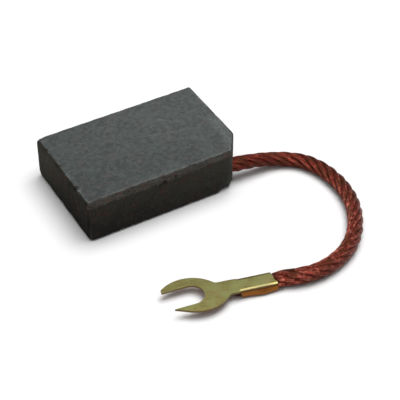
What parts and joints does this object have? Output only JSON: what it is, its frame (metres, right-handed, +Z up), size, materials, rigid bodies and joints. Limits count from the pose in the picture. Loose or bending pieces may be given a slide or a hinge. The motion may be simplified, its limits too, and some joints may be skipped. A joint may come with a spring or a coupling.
{
  "type": "carbon brush",
  "caption": "Rectangular pressed carbon brush for an electric motor, with a stranded copper shunt and a folded brass fork terminal.",
  "frame": {"origin": "centre of the underside of the carbon block, on the surface that the part lies on", "axes": "+X along the block towards its back end, where the shunt leaves; +Y to the back side, away from the fork terminal; +Z up"},
  "size_m": [0.044, 0.0465, 0.008],
  "materials": {
    "carbon": "pressed and ground carbon graphite, dull dark grey with fine mottle and copper stains",
    "copper_powder": "tamped copper powder, dull brown",
    "copper": "bare stranded copper, tarnished red-brown with bright crests",
    "brass": "rolled brass sheet, greenish yellow, satin"
  },
  "bodies": {
    "root": {"carbon_block": "carbon", "tamped_powder": "copper_powder", "shunt": "copper", "fork_terminal": "brass"}
  },
  "joints": []
}
